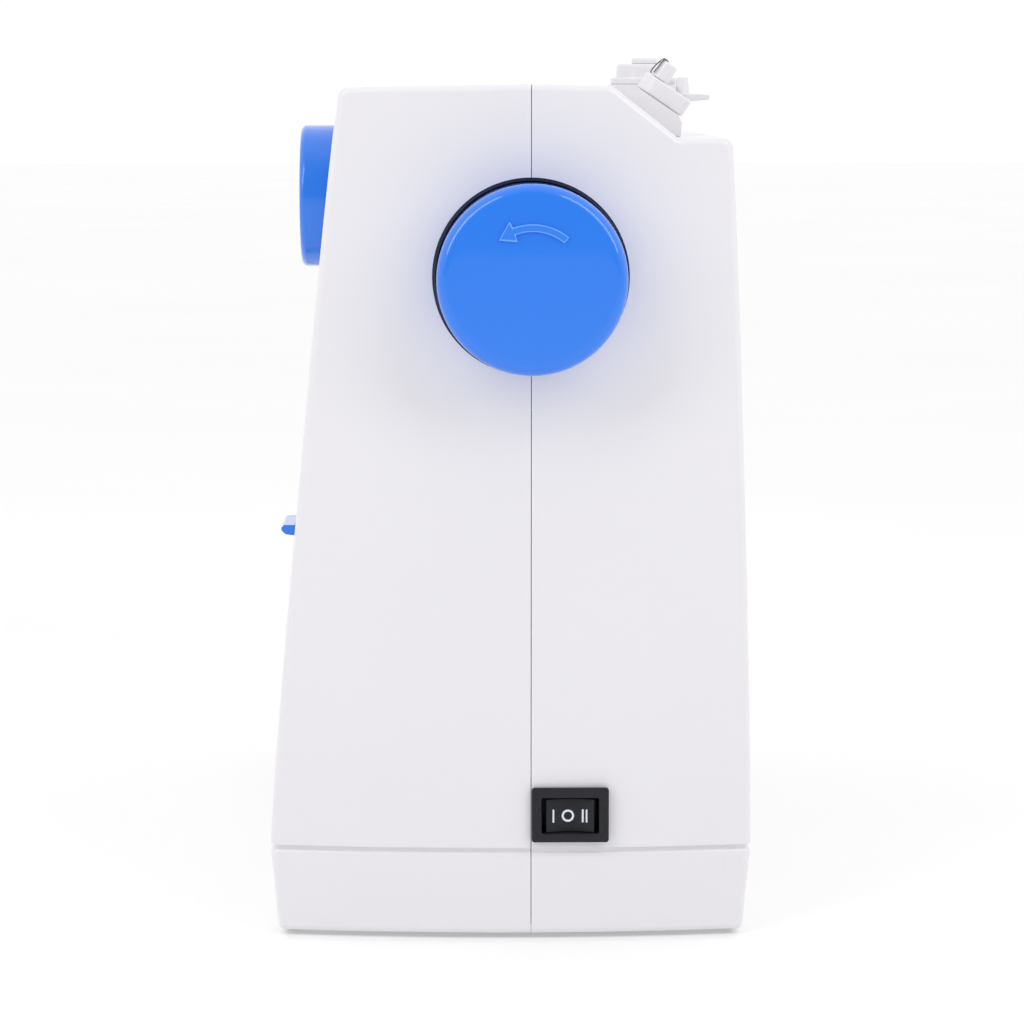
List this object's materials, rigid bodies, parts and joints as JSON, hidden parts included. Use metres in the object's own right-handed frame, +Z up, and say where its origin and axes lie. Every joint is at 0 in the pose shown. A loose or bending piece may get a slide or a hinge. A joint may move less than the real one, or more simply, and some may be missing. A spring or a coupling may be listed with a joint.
{
  "type": "sewing machine",
  "caption": "Compact household sewing machine with a free arm, blue hand wheel, pattern dial, reverse lever, bobbin winder and slide-on extension table.",
  "frame": {"origin": "centre of the bounding box in plan, on the plane the feet stand on", "axes": "+X along the machine towards the hand wheel, -Y towards the operator, +Y to the back, +Z up"},
  "size_m": [0.2888, 0.1314, 0.2384],
  "materials": {
    "white_gloss": "glossy moulded white plastic",
    "white_matte": "plain white plastic",
    "blue_gloss": "glossy moulded blue plastic",
    "black_matte": "satin black plastic",
    "grey_matte": "plain grey plastic",
    "rubber": "soft black rubber",
    "steel": "ground steel",
    "chrome": "plated steel",
    "cast": "cast metal",
    "motor_can": "pressed steel can",
    "clear_plastic": "clear plastic",
    "lens": "frosted lens"
  },
  "bodies": {
    "casing": {"front_shell": "white_gloss", "rear_shell": "white_gloss", "bottom_plate": "grey_matte", "foot_front_left": "rubber", "foot_front_right": "rubber", "foot_rear_left": "rubber", "foot_rear_right": "rubber", "frame_casting": "cast", "bush_right": "steel", "bush_left": "steel", "wheel_cup": "black_matte", "drive_belt": "rubber", "motor": "motor_can", "timing_belt": "rubber", "bobbin_case": "black_matte", "take_up_pivot": "steel", "lifter_pin": "steel", "needle_plate": "steel", "lever_pin": "steel", "tension_pin": "steel", "switch_housing": "black_matte", "winder_plinth": "white_gloss", "winder_stop": "white_gloss", "spool_seat": "white_gloss", "lamp_lens": "lens", "power_jack": "black_matte"},
    "upper_shaft": {"main_shaft": "steel", "hand_wheel": "blue_gloss", "belt_pulley": "black_matte", "upper_timing_gear": "white_matte", "crank_disc": "cast"},
    "motor_rotor": {"motor_pulley": "black_matte"},
    "lower_shaft_set": {"lower_shaft": "steel", "lower_timing_gear": "white_matte", "driving_gear": "steel"},
    "hook_set": {"hook": "steel", "hook_gear": "white_matte"},
    "bobbin_body": {"bobbin": "clear_plastic"},
    "cover_body": {"bobbin_cover": "clear_plastic"},
    "needle_set": {"needle_bar": "steel", "needle_clamp": "steel", "needle": "steel"},
    "clamp_screw_body": {"clamp_screw": "steel"},
    "take_up_body": {"take_up_lever": "steel"},
    "presser_set": {"presser_bar": "steel", "foot_shank": "steel"},
    "foot_body": {"presser_foot": "chrome"},
    "shank_screw_body": {"shank_screw": "steel"},
    "lifter_body": {"presser_lifter": "black_matte"},
    "feed_body": {"feed_dog": "steel"},
    "table_body": {"extension_table": "white_gloss"},
    "lid_body": {"storage_lid": "white_gloss"},
    "pattern_set": {"pattern_dial": "blue_gloss", "pattern_cam": "white_matte"},
    "reverse_body": {"reverse_lever": "blue_gloss"},
    "tension_body": {"tension_dial": "blue_gloss"},
    "rocker_body": {"power_rocker": "black_matte"},
    "carriage_body": {"winder_carriage": "white_gloss"},
    "spindle_body": {"winder_spindle": "white_gloss"},
    "spool_pin_body": {"spool_pin": "white_gloss"}
  },
  "joints": [
    {"name": "wheel_spin", "type": "hinge", "parent": "casing", "child": "upper_shaft", "pos_m": [0, 0.0052, 0.1802], "axis": [1, 0, 0], "continuous": true},
    {"name": "motor_spin", "type": "hinge", "parent": "casing", "child": "motor_rotor", "pos_m": [0.1, 0.0425, 0.096], "axis": [1, 0, 0], "continuous": true},
    {"name": "lower_shaft_spin", "type": "hinge", "parent": "casing", "child": "lower_shaft_set", "pos_m": [0, 0.0052, 0.044], "axis": [1, 0, 0], "continuous": true},
    {"name": "hook_spin", "type": "hinge", "parent": "casing", "child": "hook_set", "pos_m": [-0.108, -0.013, 0.05], "axis": [0, 0, 1], "continuous": true},
    {"name": "bobbin_spin", "type": "hinge", "parent": "casing", "child": "bobbin_body", "pos_m": [-0.108, -0.013, 0.064], "axis": [0, 0, 1], "continuous": true},
    {"name": "cover_lift", "type": "slide", "parent": "casing", "child": "cover_body", "axis": [0, 0, 1], "range_m": [0, 0.012]},
    {"name": "needle_stroke", "type": "slide", "parent": "casing", "child": "needle_set", "axis": [0, 0, -1], "range_m": [0, 0.024]},
    {"name": "clamp_screw_turn", "type": "hinge", "parent": "needle_set", "child": "clamp_screw_body", "pos_m": [-0.1, 0.0052, 0.118], "axis": [1, 0, 0], "continuous": true},
    {"name": "take_up_swing", "type": "hinge", "parent": "casing", "child": "take_up_body", "pos_m": [-0.1, -0.008, 0.187], "axis": [1, 0, 0], "range_deg": [0, 36]},
    {"name": "presser_lift", "type": "slide", "parent": "casing", "child": "presser_set", "axis": [0, 0, 1], "range_m": [0, 0.0055]},
    {"name": "foot_tilt", "type": "hinge", "parent": "presser_set", "child": "foot_body", "pos_m": [-0.108, 0.0155, 0.08], "axis": [1, 0, 0], "range_deg": [-4, 2]},
    {"name": "shank_screw_turn", "type": "hinge", "parent": "presser_set", "child": "shank_screw_body", "pos_m": [-0.1, 0.0175, 0.099], "axis": [1, 0, 0], "continuous": true},
    {"name": "lifter_turn", "type": "hinge", "parent": "casing", "child": "lifter_body", "pos_m": [-0.092, 0.027, 0.107], "axis": [0, -1, 0], "range_deg": [0, 52]},
    {"name": "feed_stroke", "type": "slide", "parent": "casing", "child": "feed_body", "axis": [0, 1, 0], "range_m": [-0.0012, 0.0012]},
    {"name": "table_slide", "type": "slide", "parent": "casing", "child": "table_body", "axis": [-1, 0, 0], "range_m": [0, 0.18]},
    {"name": "lid_hinge", "type": "hinge", "parent": "table_body", "child": "lid_body", "pos_m": [-0.044, -0.0617, 0.072], "axis": [1, 0, 0], "range_deg": [0, 105]},
    {"name": "pattern_turn", "type": "hinge", "parent": "casing", "child": "pattern_set", "pos_m": [0.09, -0.05, 0.2006], "axis": [0, 1, 0], "range_deg": [-165, 165]},
    {"name": "reverse_press", "type": "hinge", "parent": "casing", "child": "reverse_body", "pos_m": [0.09, -0.036, 0.1035], "axis": [1, 0, 0], "range_deg": [0, 9], "stiffness_Nm_per_rad": 0.3, "springref_deg": -5.73},
    {"name": "tension_turn", "type": "hinge", "parent": "casing", "child": "tension_body", "pos_m": [-0.057, -0.0385, 0.2], "axis": [1, 0, 0], "range_deg": [-150, 150]},
    {"name": "power_rock", "type": "hinge", "parent": "casing", "child": "rocker_body", "pos_m": [0.12, 0.0159, 0.0347], "axis": [0, 0, 1], "range_deg": [-8, 8]},
    {"name": "winder_shift", "type": "slide", "parent": "casing", "child": "carriage_body", "axis": [-1, 0, 0], "range_m": [0, 0.004]},
    {"name": "winder_spin", "type": "hinge", "parent": "carriage_body", "child": "spindle_body", "pos_m": [0.075, 0.04172, 0.2319], "axis": [0, 0.5592, 0.829], "continuous": true},
    {"name": "spool_pin_raise", "type": "slide", "parent": "casing", "child": "spool_pin_body", "axis": [0, 0, 1], "range_m": [0, 0.037]}
  ],
  "couplings": [
    {"joint": "motor_spin", "follows": "wheel_spin", "ratio": 3.3333},
    {"joint": "lower_shaft_spin", "follows": "wheel_spin", "ratio": 1},
    {"joint": "hook_spin", "follows": "wheel_spin", "ratio": -2},
    {"joint": "lifter_turn", "follows": "presser_lift", "rad_per_m": 165.02}
  ]
}
